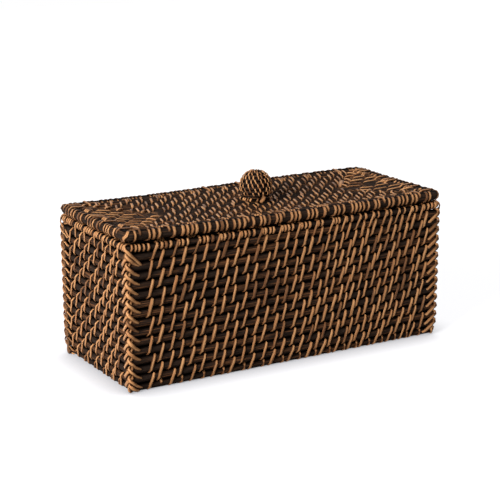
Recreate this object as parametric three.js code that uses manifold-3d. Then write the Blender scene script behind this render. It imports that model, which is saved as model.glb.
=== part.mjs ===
// Rattan storage box. Straight cores are stitched side by side into four wall panels, which are
// laced together at the corners and closed at the top by a bound rim rod. The floor and the
// lift-off lid are mitred rings of core around a centre rod, and the lid carries a coiled knob.
// Millimetres, +Z up. The origin is under the centre of the box, on the surface it stands on.

import * as THREE from 'three';
import { mergeVertices } from 'three/addons/utils/BufferGeometryUtils.js';
import Module from 'manifold-3d';

const wasm = await Module();
wasm.setup();

// Overall sizes
const boxLength = 350;
const boxWidth = 145;
const bodyHeight = 140; // from the surface it stands on to the top of the rim

// Clearances
const seatGap = 0.3; // between pieces that rest on each other
const mouthClearance = 1.5; // from the rim to the frame under the lid

// Wall rows, each a core with the peel stitched round it
const wallRowDiameter = 8.9;
const wallRowBite = 0.1; // how far neighbouring rows are pressed into each other
const wallBendDegrees = [2, 7, 16]; // lean of the lowest rows, turning in towards the floor
const footFlat = 0.5; // depth of the flat worn along the lowest rows
const longWallEndGap = 7; // from the corner to the cut ends of a long wall's rows

// Lacing at the corners
const strapWidth = 3;
const strapThickness = 0.9;
const strapBond = 0.15; // how far crossing straps are pulled into each other
const cornerBend = 5; // radius at which the straps turn round the corner
const overStrap = { from: -6, to: 14, rise: 4.3, fall: 10 };
const underStrap = { from: 5.5, to: -12, rise: 4.3, fall: 9.5 };
const overStrapReach = 6.5; // the over strap clears the under strap as far as this
const overStrapSettle = 11; // and lies on the rows again from here

// Rods with bent corners
const rimDiameter = 8.8;
const rimBend = 5;
const lidEdgeDiameter = 10.2;
const lidEdgeBend = 5.5;
const frameDiameter = 6; // frame under the lid that finds the mouth
const frameBend = 3.6;

// Rows of the floor and the lid
const flatRowPitch = 8.3;
const floorLift = 1.5; // the floor stands clear of the surface by this much
const lidRowDrop = 0.5; // the lid's rows lie this much lower than its edge rod

// Knob
const ballDiameter = 31.2;
const ballHeight = 12.9; // centre of the ball above the lid's rows
const ballBaseAngle = 40; // degrees below its middle at which the ball is cut off
const ballRows = 8;
const ballGroove = 0.8;
const collarDiameter = 4; // thickness of the ring round the ball's foot
const stemDiameter = 14;
const tieLength = 27;
const tieWidth = 5;
const tieThickness = 1.2;

// Facets
const rowArcSteps = 5;
const rodSides = 12;
const rowSides = 8;
const rodBendSteps = 3;
const overStrapSteps = 4;
const underStrapSteps = 3;
const ballSides = 18;

const coreMaterial = new THREE.MeshStandardMaterial({ color: 0x3b2c22, roughness: 0.6, metalness: 0 });
const edgeMaterial = new THREE.MeshStandardMaterial({ color: 0x4a382b, roughness: 0.55, metalness: 0 });
const peelMaterial = new THREE.MeshStandardMaterial({ color: 0xc38b58, roughness: 0.5, metalness: 0 });
const knobMaterial = new THREE.MeshStandardMaterial({ color: 0x6b4a30, roughness: 0.55, metalness: 0 });

// Solids and geometries

function solidOf(geometry) {
  const bare = geometry.clone();
  bare.deleteAttribute('normal');
  bare.deleteAttribute('uv');
  const merged = mergeVertices(bare, 1e-4);
  const mesh = new wasm.Mesh({
    numProp: 3,
    vertProperties: new Float32Array(merged.attributes.position.array),
    triVerts: new Uint32Array(merged.index.array),
  });
  return new wasm.Manifold(mesh);
}

function geometryOf(solid) {
  const mesh = solid.getMesh();
  const geometry = new THREE.BufferGeometry();
  geometry.setAttribute('position', new THREE.BufferAttribute(mesh.vertProperties, 3));
  geometry.setIndex(new THREE.BufferAttribute(mesh.triVerts, 1));
  geometry.computeVertexNormals();
  return geometry;
}

function remapped(geometry, place) {
  const position = geometry.attributes.position;
  const point = new THREE.Vector3();
  for (let index = 0; index < position.count; index += 1) {
    point.fromBufferAttribute(position, index);
    place(point, index);
    position.setXYZ(index, point.x, point.y, point.z);
  }
  geometry.computeVertexNormals();
  return geometry;
}

function named(name, geometry, material) {
  const mesh = new THREE.Mesh(geometry, material);
  mesh.name = name;
  return mesh;
}

// Wall rows: the centre of each, as its height and how far it is turned in, from the top down

const rowRadius = wallRowDiameter / 2;
const rimBottom = bodyHeight - rimDiameter;

function wallRows() {
  const leans = wallBendDegrees.map(THREE.MathUtils.degToRad);
  const topCentre = rimBottom - seatGap - rowRadius;
  const footCentre = rowRadius - footFlat;
  const lost = leans.reduce((sum, lean) => sum + 1 - Math.cos(lean), 0);
  const height = topCentre - footCentre;
  const steps = Math.ceil(height / (wallRowDiameter - wallRowBite) + lost);
  const pitch = height / (steps - lost);
  const rows = [{ turnedIn: 0, z: topCentre }];
  for (let step = 1; step <= steps; step += 1) {
    const above = rows[step - 1];
    const lean = leans[step - 1 - (steps - leans.length)] ?? 0;
    rows.push({
      turnedIn: above.turnedIn + pitch * Math.sin(lean),
      z: above.z - pitch * Math.cos(lean),
    });
  }
  return { rows, pitch };
}

const { rows, pitch: wallPitch } = wallRows();
const footRow = rows[rows.length - 1];

function turnedInAt(z) {
  const lower = rows.findIndex((row) => row.z <= z);
  if (lower === 0) {
    return rows[0].turnedIn;
  }
  if (lower < 0) {
    return footRow.turnedIn;
  }
  const above = rows[lower - 1];
  const below = rows[lower];
  const share = (above.z - z) / (above.z - below.z);
  return THREE.MathUtils.lerp(above.turnedIn, below.turnedIn, share);
}

// Wall panels. The profile is drawn with x as the depth in from the wall's outer face and y as
// the height. Each row is an arc on either side, and the arcs meet where the rows are bound.

function arcPoints(row, from, to) {
  const points = [];
  for (let step = 0; step < rowArcSteps; step += 1) {
    const angle = THREE.MathUtils.lerp(from, to, step / rowArcSteps);
    const depth = row.turnedIn + rowRadius + rowRadius * Math.cos(angle);
    points.push(new THREE.Vector2(depth, row.z + rowRadius * Math.sin(angle)));
  }
  return points;
}

function wallProfile() {
  const bound = Math.acos(wallPitch / 2 / rowRadius);
  const foot = Math.asin(footRow.z / rowRadius);
  const last = rows.length - 1;
  const down = rows.slice(1).map((row, index) => {
    const above = rows[index];
    return Math.atan2(row.z - above.z, row.turnedIn - above.turnedIn);
  });
  const outer = rows.flatMap((row, index) => {
    const from = index === 0 ? Math.PI / 2 : down[index - 1] + Math.PI + bound;
    const to = index === last ? Math.PI + foot : down[index] + 2 * Math.PI - bound;
    return arcPoints(row, from, to);
  });
  const inner = rows.flatMap((row, index) => {
    const from = index === 0 ? Math.PI / 2 : down[index - 1] + Math.PI - bound;
    const to = index === last ? -foot : down[index] + bound;
    return arcPoints(row, from, to);
  });
  const footOuter = new THREE.Vector2(footRow.turnedIn + rowRadius - rowRadius * Math.cos(foot), 0);
  const footInner = new THREE.Vector2(footRow.turnedIn + rowRadius + rowRadius * Math.cos(foot), 0);
  return new THREE.Shape([...outer, footOuter, footInner, ...inner.slice(1).reverse()]);
}

// The rows of a wall end at the same distance from the corner, so each end follows the turn.

function wallEnds(halfRun) {
  const side = [
    new THREE.Vector2(halfRun, bodyHeight),
    ...rows.map((row) => new THREE.Vector2(halfRun - row.turnedIn, row.z)),
    new THREE.Vector2(halfRun - footRow.turnedIn, -rowRadius),
  ];
  const otherSide = side.map((point) => new THREE.Vector2(-point.x, point.y)).reverse();
  return new THREE.Shape([...side, ...otherSide]);
}

function wallPanel(halfRun) {
  const depth = wallRowDiameter + footRow.turnedIn;
  const rowsSolid = new THREE.ExtrudeGeometry(wallProfile(), { depth: 2 * halfRun, bevelEnabled: false });
  rowsSolid.translate(0, 0, -halfRun);
  const across = new THREE.Vector3(0, 1, 0);
  const up = new THREE.Vector3(0, 0, 1);
  const along = new THREE.Vector3(1, 0, 0);
  rowsSolid.applyMatrix4(new THREE.Matrix4().makeBasis(across, up, along));
  const ends = new THREE.ExtrudeGeometry(wallEnds(halfRun), { depth: 3 * depth, bevelEnabled: false });
  ends.applyMatrix4(new THREE.Matrix4().makeBasis(along, up, across.clone().negate()));
  ends.translate(0, 2 * depth, 0);
  return geometryOf(solidOf(rowsSolid).intersect(solidOf(ends)));
}

// Corner lacing, drawn flat as it would unroll and bent round the corner. The corner of the
// walls' outer faces is at x = 0, y = 0 with the box towards +x and +y. A place on the flat
// drawing is its way round from the corner, its height and its lift off the rows.

const lacingLift = seatGap + 2 * strapThickness - strapBond;
const quarterTurn = (cornerBend * Math.PI) / 4;

function bentRoundCorner(point, way, z, lift) {
  const corner = turnedInAt(z);
  const centre = corner + cornerBend;
  const reach = cornerBend + lift;
  const beyond = Math.abs(way) - quarterTurn;
  if (beyond <= 0) {
    const angle = (5 * Math.PI) / 4 + way / cornerBend;
    return point.set(centre + reach * Math.cos(angle), centre + reach * Math.sin(angle), z);
  }
  if (way > 0) {
    return point.set(centre + beyond, corner - lift, z);
  }
  return point.set(corner - lift, centre + beyond, z);
}

function overLift(way) {
  const settled = THREE.MathUtils.smoothstep(Math.abs(way), overStrapReach, overStrapSettle);
  return seatGap + strapThickness / 2 + (strapThickness - strapBond) * (1 - settled);
}

function underLift() {
  return seatGap + strapThickness / 2;
}

function lacingStrap(strap, level, steps, liftAt) {
  const start = new THREE.Vector2(strap.from, level + strap.rise);
  const end = new THREE.Vector2(strap.to, level - strap.fall);
  const run = end.clone().sub(start);
  const heading = run.clone().normalize();
  const middle = start.clone().add(end).multiplyScalar(0.5);
  const flat = new THREE.BoxGeometry(run.length(), strapWidth, strapThickness, steps, 1, 1);
  return remapped(flat, (point) => {
    const way = middle.x + point.x * heading.x - point.y * heading.y;
    const z = middle.y + point.x * heading.y + point.y * heading.x;
    bentRoundCorner(point, way, z, liftAt(way) + point.z);
  });
}

function cornerLacing() {
  const straps = rows.slice(0, -1).flatMap((row) => {
    const level = row.z + wallPitch / 2;
    return [
      lacingStrap(overStrap, level, overStrapSteps, overLift),
      lacingStrap(underStrap, level, underStrapSteps, underLift),
    ];
  });
  const height = rimBottom - 2 * seatGap;
  const span = 4 * (overStrap.to - underStrap.to);
  const between = new THREE.BoxGeometry(span, span, height);
  between.translate(0, 0, seatGap + height / 2);
  const laced = straps.map(solidOf).reduce((sum, strap) => sum.add(strap));
  return geometryOf(laced.intersect(solidOf(between)));
}

// Rods bent into a rectangle: a torus whose four quarters are moved out to the corners

function bentRing(halfX, halfY, diameter, bend, z) {
  const radius = diameter / 2;
  const stops = rodBendSteps + 1;
  const ring = new THREE.TorusGeometry(bend, radius, rodSides, 4 * stops);
  return remapped(ring, (point, index) => {
    const stop = index % (4 * stops + 1) % (4 * stops);
    const quarter = Math.floor(stop / stops);
    const angle = (quarter + (stop % stops) / rodBendSteps) * (Math.PI / 2);
    const outwardX = quarter === 0 || quarter === 3 ? 1 : -1;
    const outwardY = quarter < 2 ? 1 : -1;
    const reach = Math.hypot(point.x, point.y);
    const centreX = outwardX * (halfX - radius - bend);
    const centreY = outwardY * (halfY - radius - bend);
    point.set(centreX + reach * Math.cos(angle), centreY + reach * Math.sin(angle), z + point.z);
  });
}

// Rows of a floor or lid: rings mitred at the corners, one inside the other, round a centre rod

function flatRows(halfX, halfY) {
  const rings = Math.max(1, Math.round((halfY + seatGap / 2) / flatRowPitch - 0.5));
  const pitch = (halfY + seatGap / 2) / (rings + 0.5);
  const diameter = pitch - seatGap;
  return { halfX, halfY, rings, pitch, diameter };
}

function mitredRing(layout, index, z) {
  const radius = layout.diameter / 2;
  const middleX = layout.halfX - radius - index * layout.pitch;
  const middleY = layout.halfY - radius - index * layout.pitch;
  const ring = new THREE.TorusGeometry(2 * radius, radius, rowSides, 4);
  return remapped(ring, (point, vertex) => {
    const corner = vertex % 5 % 4;
    const outward = Math.hypot(point.x, point.y) - 2 * radius;
    const outwardX = corner === 0 || corner === 3 ? 1 : -1;
    const outwardY = corner < 2 ? 1 : -1;
    point.set(outwardX * (middleX + outward), outwardY * (middleY + outward), z + point.z);
  });
}

function centreRod(layout, z) {
  const radius = layout.diameter / 2;
  const halfRun = layout.halfX - layout.halfY + radius;
  const rod = new THREE.CylinderGeometry(radius, radius, 2 * halfRun, rowSides);
  rod.rotateZ(Math.PI / 2);
  rod.translate(0, 0, z);
  return rod;
}

function flatRowMeshes(part, layout, z) {
  const meshes = [];
  for (let index = 0; index < layout.rings; index += 1) {
    meshes.push(named(`${part}_row_${index + 1}`, mitredRing(layout, index, z), coreMaterial));
  }
  meshes.push(named(`${part}_centre_rod`, centreRod(layout, z), coreMaterial));
  return meshes;
}

// Body: walls, lacing, rim and floor

const halfLengthFace = boxLength / 2 - lacingLift;
const halfWidthFace = boxWidth / 2 - lacingLift;

function walls() {
  const longWall = wallPanel(halfLengthFace - longWallEndGap);
  const shortWall = wallPanel(halfWidthFace - wallRowDiameter - seatGap);
  const turns = {
    front_wall: { geometry: longWall, quarter: 0, offset: halfWidthFace },
    right_wall: { geometry: shortWall, quarter: 1, offset: halfLengthFace },
    back_wall: { geometry: longWall, quarter: 2, offset: halfWidthFace },
    left_wall: { geometry: shortWall, quarter: 3, offset: halfLengthFace },
  };
  return Object.entries(turns).map(([name, { geometry, quarter, offset }]) => {
    const wall = named(name, geometry, coreMaterial);
    const side = new THREE.Group();
    wall.position.y = -offset;
    side.rotation.z = (quarter * Math.PI) / 2;
    side.add(wall);
    return side;
  });
}

function lacings() {
  const geometry = cornerLacing();
  const corners = {
    corner_lacing_front_left: [-1, -1],
    corner_lacing_front_right: [1, -1],
    corner_lacing_back_right: [1, 1],
    corner_lacing_back_left: [-1, 1],
  };
  return Object.entries(corners).map(([name, [sideX, sideY]], quarter) => {
    const lacing = named(name, geometry, peelMaterial);
    lacing.position.set(sideX * halfLengthFace, sideY * halfWidthFace, 0);
    lacing.rotation.z = (quarter * Math.PI) / 2;
    return lacing;
  });
}

function rim() {
  const z = bodyHeight - rimDiameter / 2;
  const geometry = bentRing(boxLength / 2, boxWidth / 2, rimDiameter, rimBend, z);
  return named('rim_rod', geometry, edgeMaterial);
}

function floorRows() {
  const turnedIn = footRow.turnedIn + wallRowDiameter + seatGap;
  const layout = flatRows(halfLengthFace - turnedIn, halfWidthFace - turnedIn);
  return flatRowMeshes('floor', layout, floorLift + layout.diameter / 2);
}

// Lid: edge rod, rows, the frame that finds the mouth, and the knob

const lidBottom = bodyHeight + seatGap;
const lidTop = lidBottom + lidEdgeDiameter;
const lidInset = lidEdgeDiameter + seatGap;
const lidLayout = flatRows(boxLength / 2 - lidInset, boxWidth / 2 - lidInset);
const lidRowTop = lidTop - lidRowDrop;
const lidRowBottom = lidRowTop - lidLayout.diameter;

function lidEdge() {
  const z = lidBottom + lidEdgeDiameter / 2;
  const geometry = bentRing(boxLength / 2, boxWidth / 2, lidEdgeDiameter, lidEdgeBend, z);
  return named('lid_edge_rod', geometry, edgeMaterial);
}

function locatingFrame() {
  const inset = rimDiameter + mouthClearance;
  const z = lidRowBottom - seatGap - frameDiameter / 2;
  const geometry = bentRing(boxLength / 2 - inset, boxWidth / 2 - inset, frameDiameter, frameBend, z);
  return named('lid_locating_frame', geometry, edgeMaterial);
}

// The ball is a coil of thin core: a turned profile with one crest and one groove for each row.

function knobBall() {
  const radius = ballDiameter / 2;
  const base = -THREE.MathUtils.degToRad(ballBaseAngle);
  const rowAngle = (Math.PI / 2 - base) / ballRows;
  const surface = (angle, reach) => new THREE.Vector2(reach * Math.cos(angle), reach * Math.sin(angle));
  const profile = [new THREE.Vector2(0, radius * Math.sin(base))];
  for (let row = 0; row < ballRows; row += 1) {
    const foot = base + row * rowAngle;
    const grooveDepth = row === 0 ? 0 : ballGroove;
    profile.push(surface(foot, radius - grooveDepth));
    profile.push(surface(foot + rowAngle / 3, radius));
    profile.push(surface(foot + (2 * rowAngle) / 3, radius));
  }
  profile.push(new THREE.Vector2(0, radius - ballGroove));
  const ball = new THREE.LatheGeometry(profile, ballSides);
  ball.rotateX(Math.PI / 2);
  ball.translate(0, 0, lidRowTop + ballHeight);
  return named('knob_ball', ball, knobMaterial);
}

function knobCollar() {
  const tube = collarDiameter / 2;
  const z = lidRowTop + seatGap + tube;
  const reach = ballDiameter / 2 + seatGap + tube;
  const radius = Math.sqrt(reach ** 2 - (lidRowTop + ballHeight - z) ** 2);
  const collar = new THREE.TorusGeometry(radius, tube, rowSides, ballSides);
  collar.translate(0, 0, z);
  return named('knob_collar', collar, peelMaterial);
}

function knobStem() {
  const base = ballHeight - (ballDiameter / 2) * Math.sin(THREE.MathUtils.degToRad(ballBaseAngle));
  const height = base - 2 * seatGap;
  const stem = new THREE.CylinderGeometry(stemDiameter / 2, stemDiameter / 2, height, rodSides);
  stem.rotateX(Math.PI / 2);
  stem.translate(0, 0, lidRowTop + seatGap + height / 2);
  return named('knob_stem', stem, coreMaterial);
}

// The peel that ties the knob down crosses under the lid's middle rows.

function knobTie() {
  const half = tieLength / 2;
  const side = tieWidth / 2;
  const arm = [new THREE.Vector2(side, side), new THREE.Vector2(side, half), new THREE.Vector2(-side, half)];
  const origin = new THREE.Vector2();
  const outline = [0, 1, 2, 3].flatMap((quarter) => {
    return arm.map((point) => point.clone().rotateAround(origin, (quarter * Math.PI) / 2));
  });
  const tie = new THREE.ExtrudeGeometry(new THREE.Shape(outline), { depth: tieThickness, bevelEnabled: false });
  tie.translate(0, 0, lidRowBottom - seatGap - tieThickness);
  return named('knob_tie', tie, peelMaterial);
}

const body = new THREE.Group();
body.add(...walls(), ...lacings(), rim(), ...floorRows());

const lid = new THREE.Group();
lid.add(lidEdge(), ...flatRowMeshes('lid', lidLayout, lidRowTop - lidLayout.diameter / 2));
lid.add(locatingFrame(), knobBall(), knobCollar(), knobStem(), knobTie());

const box = new THREE.Group();
box.add(body, lid);

export default box;
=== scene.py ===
import math
import random

import bmesh
import bpy
from mathutils import Matrix, Vector, noise


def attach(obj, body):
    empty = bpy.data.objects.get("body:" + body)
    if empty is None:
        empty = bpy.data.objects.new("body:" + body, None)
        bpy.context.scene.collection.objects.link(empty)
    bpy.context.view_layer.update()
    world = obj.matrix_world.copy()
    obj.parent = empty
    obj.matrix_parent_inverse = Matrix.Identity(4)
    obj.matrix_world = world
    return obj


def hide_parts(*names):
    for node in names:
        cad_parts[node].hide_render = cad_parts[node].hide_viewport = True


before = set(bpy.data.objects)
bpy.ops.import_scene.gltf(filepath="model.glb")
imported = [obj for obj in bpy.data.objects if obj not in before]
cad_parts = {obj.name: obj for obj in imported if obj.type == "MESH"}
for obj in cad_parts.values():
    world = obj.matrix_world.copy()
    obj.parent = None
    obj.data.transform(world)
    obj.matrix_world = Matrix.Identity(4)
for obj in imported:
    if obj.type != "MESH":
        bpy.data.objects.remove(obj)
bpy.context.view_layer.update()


# The wall panels. Each is fifteen straight cores of rattan, smoked nearly black and sanded on the outside,
# laid one above the other. They are sawn off short of the corners, and the lowest three lean in a little.

mm = 0.001
up = Vector((0, 0, 1))


class Wire:
    """A value in a shader that can be used in sums like a number."""

    def __init__(self, finish, socket):
        self.finish = finish
        self.socket = socket

    def worked(self, operation, *values):
        """What comes of one sum with the values, as a new node."""
        return self.finish.node("ShaderNodeMath", {"operation": operation}, dict(enumerate(values)))

    def __add__(self, other):
        return self.worked("ADD", self, other)

    def __radd__(self, other):
        return self.worked("ADD", other, self)

    def __sub__(self, other):
        return self.worked("SUBTRACT", self, other)

    def __rsub__(self, other):
        return self.worked("SUBTRACT", other, self)

    def __mul__(self, other):
        return self.worked("MULTIPLY", self, other)

    def __abs__(self):
        return self.worked("ABSOLUTE", self)

    def between(self, low, high):
        """0 below low, 1 above high, and smooth between them."""
        return self.finish.node("ShaderNodeMapRange", {"interpolation_type": "SMOOTHSTEP"},
                                {"Value": self, "From Min": low, "From Max": high})


class Finish:
    """A material with one principled shader, whose nodes are added by calls."""

    def __init__(self, name, roughness, specular):
        self.material = bpy.data.materials.new(name)
        self.material.use_nodes = True
        self.tree = self.material.node_tree
        self.shader = self.tree.nodes["Principled BSDF"]
        self.shader.inputs["Roughness"].default_value = roughness
        self.shader.inputs["Specular IOR Level"].default_value = specular

    def feed(self, socket, value):
        """Gives a socket its value, or a link to the wire that carries it."""
        if isinstance(value, Wire):
            self.tree.links.new(value.socket, socket)
        else:
            socket.default_value = value

    def node(self, kind, settings, values, output=0):
        """A new node with its settings and the values of its inputs. One of its outputs is returned."""
        made = self.tree.nodes.new(kind)
        for name, setting in settings.items():
            setattr(made, name, setting)
        for name, value in values.items():
            self.feed(made.inputs[name], value)
        return Wire(self, made.outputs[output])

    def attribute(self, name, output):
        return self.node("ShaderNodeAttribute", {"attribute_name": name}, {}, output)

    def grain_part(self, axis):
        """How far a point is from its rod's middle line: Y is sideways, Z is outwards."""
        return self.node("ShaderNodeSeparateXYZ", {}, {"Vector": self.attribute("grain", "Vector")}, axis)

    def streaks(self, stretch, detail=2.0, seed=0.0):
        """Noise drawn out along the grain; stretch is how many cells there are to a metre each way."""
        grain = self.attribute("grain", "Vector")
        drawn = self.node("ShaderNodeVectorMath", {"operation": "MULTIPLY_ADD"},
                          {0: grain, 1: stretch, 2: (seed, seed, seed)})
        return self.node("ShaderNodeTexNoise", {}, {"Vector": drawn, "Scale": 1.0, "Detail": detail}, "Fac")

    def mixed(self, share, first, second):
        """Two colours mixed. The node's colour sockets share their names with others, hence the numbers."""
        made = self.tree.nodes.new("ShaderNodeMix")
        made.data_type = "RGBA"
        self.feed(made.inputs[0], share)
        self.feed(made.inputs[6], first)
        self.feed(made.inputs[7], second)
        return Wire(self, made.outputs[2])

    def colour(self, wire):
        self.feed(self.shader.inputs["Base Color"], wire)

    def bump(self, height, strength, distance):
        values = {"Height": height, "Strength": strength, "Distance": distance}
        self.feed(self.shader.inputs["Normal"], self.node("ShaderNodeBump", {}, values, "Normal"))


def core_finish(name, radius, warmth, groove_shade=(0.52, 0.96)):
    """Smoked core: near black in the grooves between rods, which is painted shade, brown in streaks where it
    was sanded and, as a painted highlight, a little more so on its crest, and pale where it was sawn. The
    last argument says how far up the rod, as a share of its radius, the painted black begins to fade and is
    gone."""
    finish = Finish(name, roughness=0.6, specular=0.012)
    tone = finish.attribute("tone", "Fac")
    crest = abs(finish.grain_part("Z") * (1 / radius))
    patches = finish.streaks((42, 230, 230))
    lines = finish.streaks((34, 1150, 1150), detail=3.0, seed=7.0)
    fibres = finish.streaks((90, 3600, 3600), seed=3.0)
    # The crest term is partly real sanding and partly a painted highlight along the rod's crest.
    wear_and_crest_highlight = crest.between(0.45, 0.98) * 0.4 + patches * 0.85 + lines * 1.5 + tone * 0.5
    sanded_and_crest_highlight = (wear_and_crest_highlight - 1.65).between(0.0, 0.55)
    black = (0.003, 0.0018, 0.0014, 1)
    smoke = finish.mixed(fibres.between(0.3, 0.75), (0.014, 0.009, 0.007, 1), (0.066, 0.043, 0.032, 1))
    brown = finish.mixed(lines.between(0.43, 0.73), (0.064, 0.031, 0.018, 1), (0.33, 0.142, 0.060, 1))
    # Painted shade: the core is mixed to near black in the grooves where it meets its neighbours.
    bark = finish.mixed(crest.between(*groove_shade), black, finish.mixed(sanded_and_crest_highlight * warmth, smoke, brown))
    sawn = finish.mixed(fibres.between(0.3, 0.7), (0.16, 0.075, 0.036, 1), (0.34, 0.17, 0.085, 1))
    finish.colour(finish.mixed(finish.attribute("cut", "Fac"), bark, sawn))
    finish.bump(lines * 0.6 + fibres * 0.5, strength=0.6, distance=0.35 * mm)
    return finish


def new_stock():
    """An empty mesh whose points know how far along their rod they are, how pale, and whether sawn."""
    bm = bmesh.new()
    bm.verts.layers.float_vector.new("grain")
    bm.verts.layers.float.new("tone")
    bm.verts.layers.float.new("cut")
    return bm


def lay(bm, path, width, thickness, sides, sawn=False):
    """A straight stick of rattan with as many steps as the path has, bent along it.
    Each station of the path is (place, facing, how wide, how thick, tone, how far its section is sheared)."""
    steps = len(path) - 1
    shape = Matrix.Diagonal((1, width / 2, thickness / 2, 1)) @ Matrix.Rotation(math.pi / 2, 4, "Y")
    stick = new_stock()
    bmesh.ops.create_cone(stick, cap_ends=True, cap_tris=False, segments=sides, radius1=1, radius2=1,
                          depth=1, matrix=shape)
    long_edges = [e for e in stick.edges if abs(e.verts[0].co.x - e.verts[1].co.x) > 0.5]
    bmesh.ops.subdivide_edges(stick, edges=long_edges, cuts=steps - 1)
    grain = stick.verts.layers.float_vector["grain"]
    tones = stick.verts.layers.float["tone"]
    cuts = stick.verts.layers.float["cut"]
    sections = []
    gone = lay.laid * lay.grain_step
    lay.laid += 1
    for i, (place, facing, wide, thick, tone, shear) in enumerate(path):
        before = path[max(i - 1, 0)][0]
        after = path[min(i + 1, steps)][0]
        run = (after - before).normalized()
        side = facing.cross(run).normalized()
        gone += (place - before).length
        sections.append((place, run * shear, side * wide, run.cross(side) * thick, tone, gone))
    for v in stick.verts:
        i = round((v.co.x + 0.5) * steps)
        place, sheared, side, out, tone, along = sections[i]
        y, z = v.co.y, v.co.z
        v[grain] = Vector((along, y, z))
        v[tones] = tone
        v[cuts] = 1.0 if sawn and i in (0, steps) else 0.0
        v.co = place + side * y + out * z + sheared * y
    for face in stick.faces:
        face.smooth = len(face.verts) == 4
    stick.to_mesh(lay.bench)
    stick.free()
    bm.from_mesh(lay.bench)


# Each stick's grain starts this much further on than that of the last, so that no two look the same.
lay.grain_step = 0.73
lay.laid = 0
lay.bench = bpy.data.meshes.new("bench")


def lay_core(bm, path, radius, sides):
    """A round core, sawn off at both ends."""
    lay(bm, path, 2 * radius, 2 * radius, sides, sawn=True)


def piece_of(bm, name, finish):
    """The mesh as an object in the scene, made of one material."""
    mesh = bpy.data.meshes.new(name)
    bm.to_mesh(mesh)
    bm.free()
    mesh.materials.append(finish.material)
    piece = bpy.data.objects.new(name, mesh)
    bpy.context.scene.collection.objects.link(piece)
    return piece


def outward_of(along):
    """The way out of the box from a side that runs along to the right, as seen from outside."""
    return Vector((along.y, -along.x, 0))


def drift(distance, seed, size, wave):
    """A slow wander to either side, the same each time for the same seed."""
    return noise.noise(Vector((distance / wave, seed * 3.7, 0.5))) * size


def sawn_ends(reach, spacing):
    """Places along a sawn core: close together at its two ends, which are rounded over, and even between."""
    count = max(4, round(2 * reach / spacing))
    even = [-reach + 2 * reach * i / count for i in range(1, count)]
    soft = [(-reach, 0.78), (-reach + 0.35 * mm, 0.93), (-reach + 1.1 * mm, 1.0)]
    return soft + [(s, 1.0) for s in even] + [(-s, scale) for s, scale in reversed(soft)]


core_radius = 4.3 * mm
row_pitch = 8.7793 * mm
row_inset = 4.45 * mm
row_heights = [126.45 * mm - row_pitch * k for k in range(12)] + [21.10 * mm, 12.39 * mm, 4.0 * mm]
row_radii = [core_radius] * 14 + [3.7 * mm]
row_leans = [0.0] * 12 + [0.15 * mm, 0.6 * mm, 1.7 * mm]
# The way along each wall, how far out its face is, and half the length that is stitched.
wall_sides = {
    "front": (Vector((1, 0, 0)), 70.55 * mm, 166.05 * mm),
    "right": (Vector((0, 1, 0)), 173.05 * mm, 61.35 * mm),
    "back": (Vector((-1, 0, 0)), 70.55 * mm, 166.05 * mm),
    "left": (Vector((0, -1, 0)), 173.05 * mm, 61.35 * mm),
}
# The long walls' cores reach further into the corners than the stitches, and lie a little to the right.
long_wall_slides = {"front": 1.6 * mm, "back": 2.4 * mm}
long_wall_overrun = 6.1 * mm
short_foot_trim = 1.6 * mm
ground_gap = 0.25 * mm
smoked_core = core_finish("smoked_core", core_radius, warmth=1.0)

rng = random.Random(15)
for name, (along, plane, reach) in wall_sides.items():
    outward = outward_of(along)
    bm = new_stock()
    for height, lean, radius in zip(row_heights, row_leans, row_radii):
        end, slid = reach - 0.35 * lean + rng.uniform(0.1, 0.5) * mm, 0.0
        if name in long_wall_slides:
            end, slid = end + long_wall_overrun, long_wall_slides[name]
        elif height == row_heights[-1]:
            end -= short_foot_trim
        seed = rng.uniform(0, 90)
        tone = rng.uniform(0.28, 0.5)
        path = []
        for s, scale in sawn_ends(end, spacing=6 * mm):
            out = plane - row_inset - lean + drift(s, seed, 0.26 * mm, 50 * mm)
            high = max(height + drift(s, seed + 20, 0.2 * mm, 60 * mm), radius + ground_gap)
            full = scale * (1 + drift(s, seed + 40, 0.04, 45 * mm))
            shade = tone + drift(s, seed + 60, 1.1, 32 * mm)
            path.append((along * (s + slid) + outward * out + up * high, outward, full, full, shade, 0))
        lay_core(bm, path, radius, sides=14)
    panel = piece_of(bm, f"{name}_wall_cores", smoked_core)
    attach(panel, "body")
    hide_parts(f"{name}_wall")


# The wall stitches. A long strip of split peel winds round each pair of neighbouring cores, slanting up to
# the right outside and going on to the next stitch inside. Every other pair is half a stitch further on.

def peel_finish():
    """Split peel: honey tan skin with fine fibres, browner along its edges, partly from wear and partly as
    painted shade, and where a strip is old or where its tone is lowered as painted shade.
    """
    finish = Finish("peel", roughness=0.42, specular=0.13)
    tone = finish.attribute("tone", "Fac")
    fibres = finish.streaks((40, 2600, 500), detail=3.0)
    flecks = finish.streaks((210, 900, 500), seed=5.0)
    # Browner edges: partly wear on the cut edges, partly painted shade where the rounded strip turns away.
    edge_wear_and_shade = abs(finish.grain_part("Y") * (1 / mm)).between(0.5, 1.3)
    tan = finish.mixed(fibres.between(0.36, 0.66), (0.58, 0.232, 0.084, 1), (1.0, 0.54, 0.235, 1))
    brown = finish.mixed(fibres.between(0.3, 0.7), (0.10, 0.043, 0.019, 1), (0.27, 0.108, 0.040, 1))
    # Low tone is partly old brown strips and partly painted shade where a strip dives between the rods.
    age_and_painted_shade = (edge_wear_and_shade * 0.7 + flecks.between(0.56, 0.8) * 0.4 + (1 - tone)).between(0.05, 1.05)
    finish.colour(finish.mixed(age_and_painted_shade, tan, brown))
    finish.bump(fibres * 0.7 + flecks * 0.3, strength=0.4, distance=0.2 * mm)
    return finish


peel = peel_finish()
peel_thickness = 1.15 * mm
stitch_width = 2.9 * mm

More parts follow.
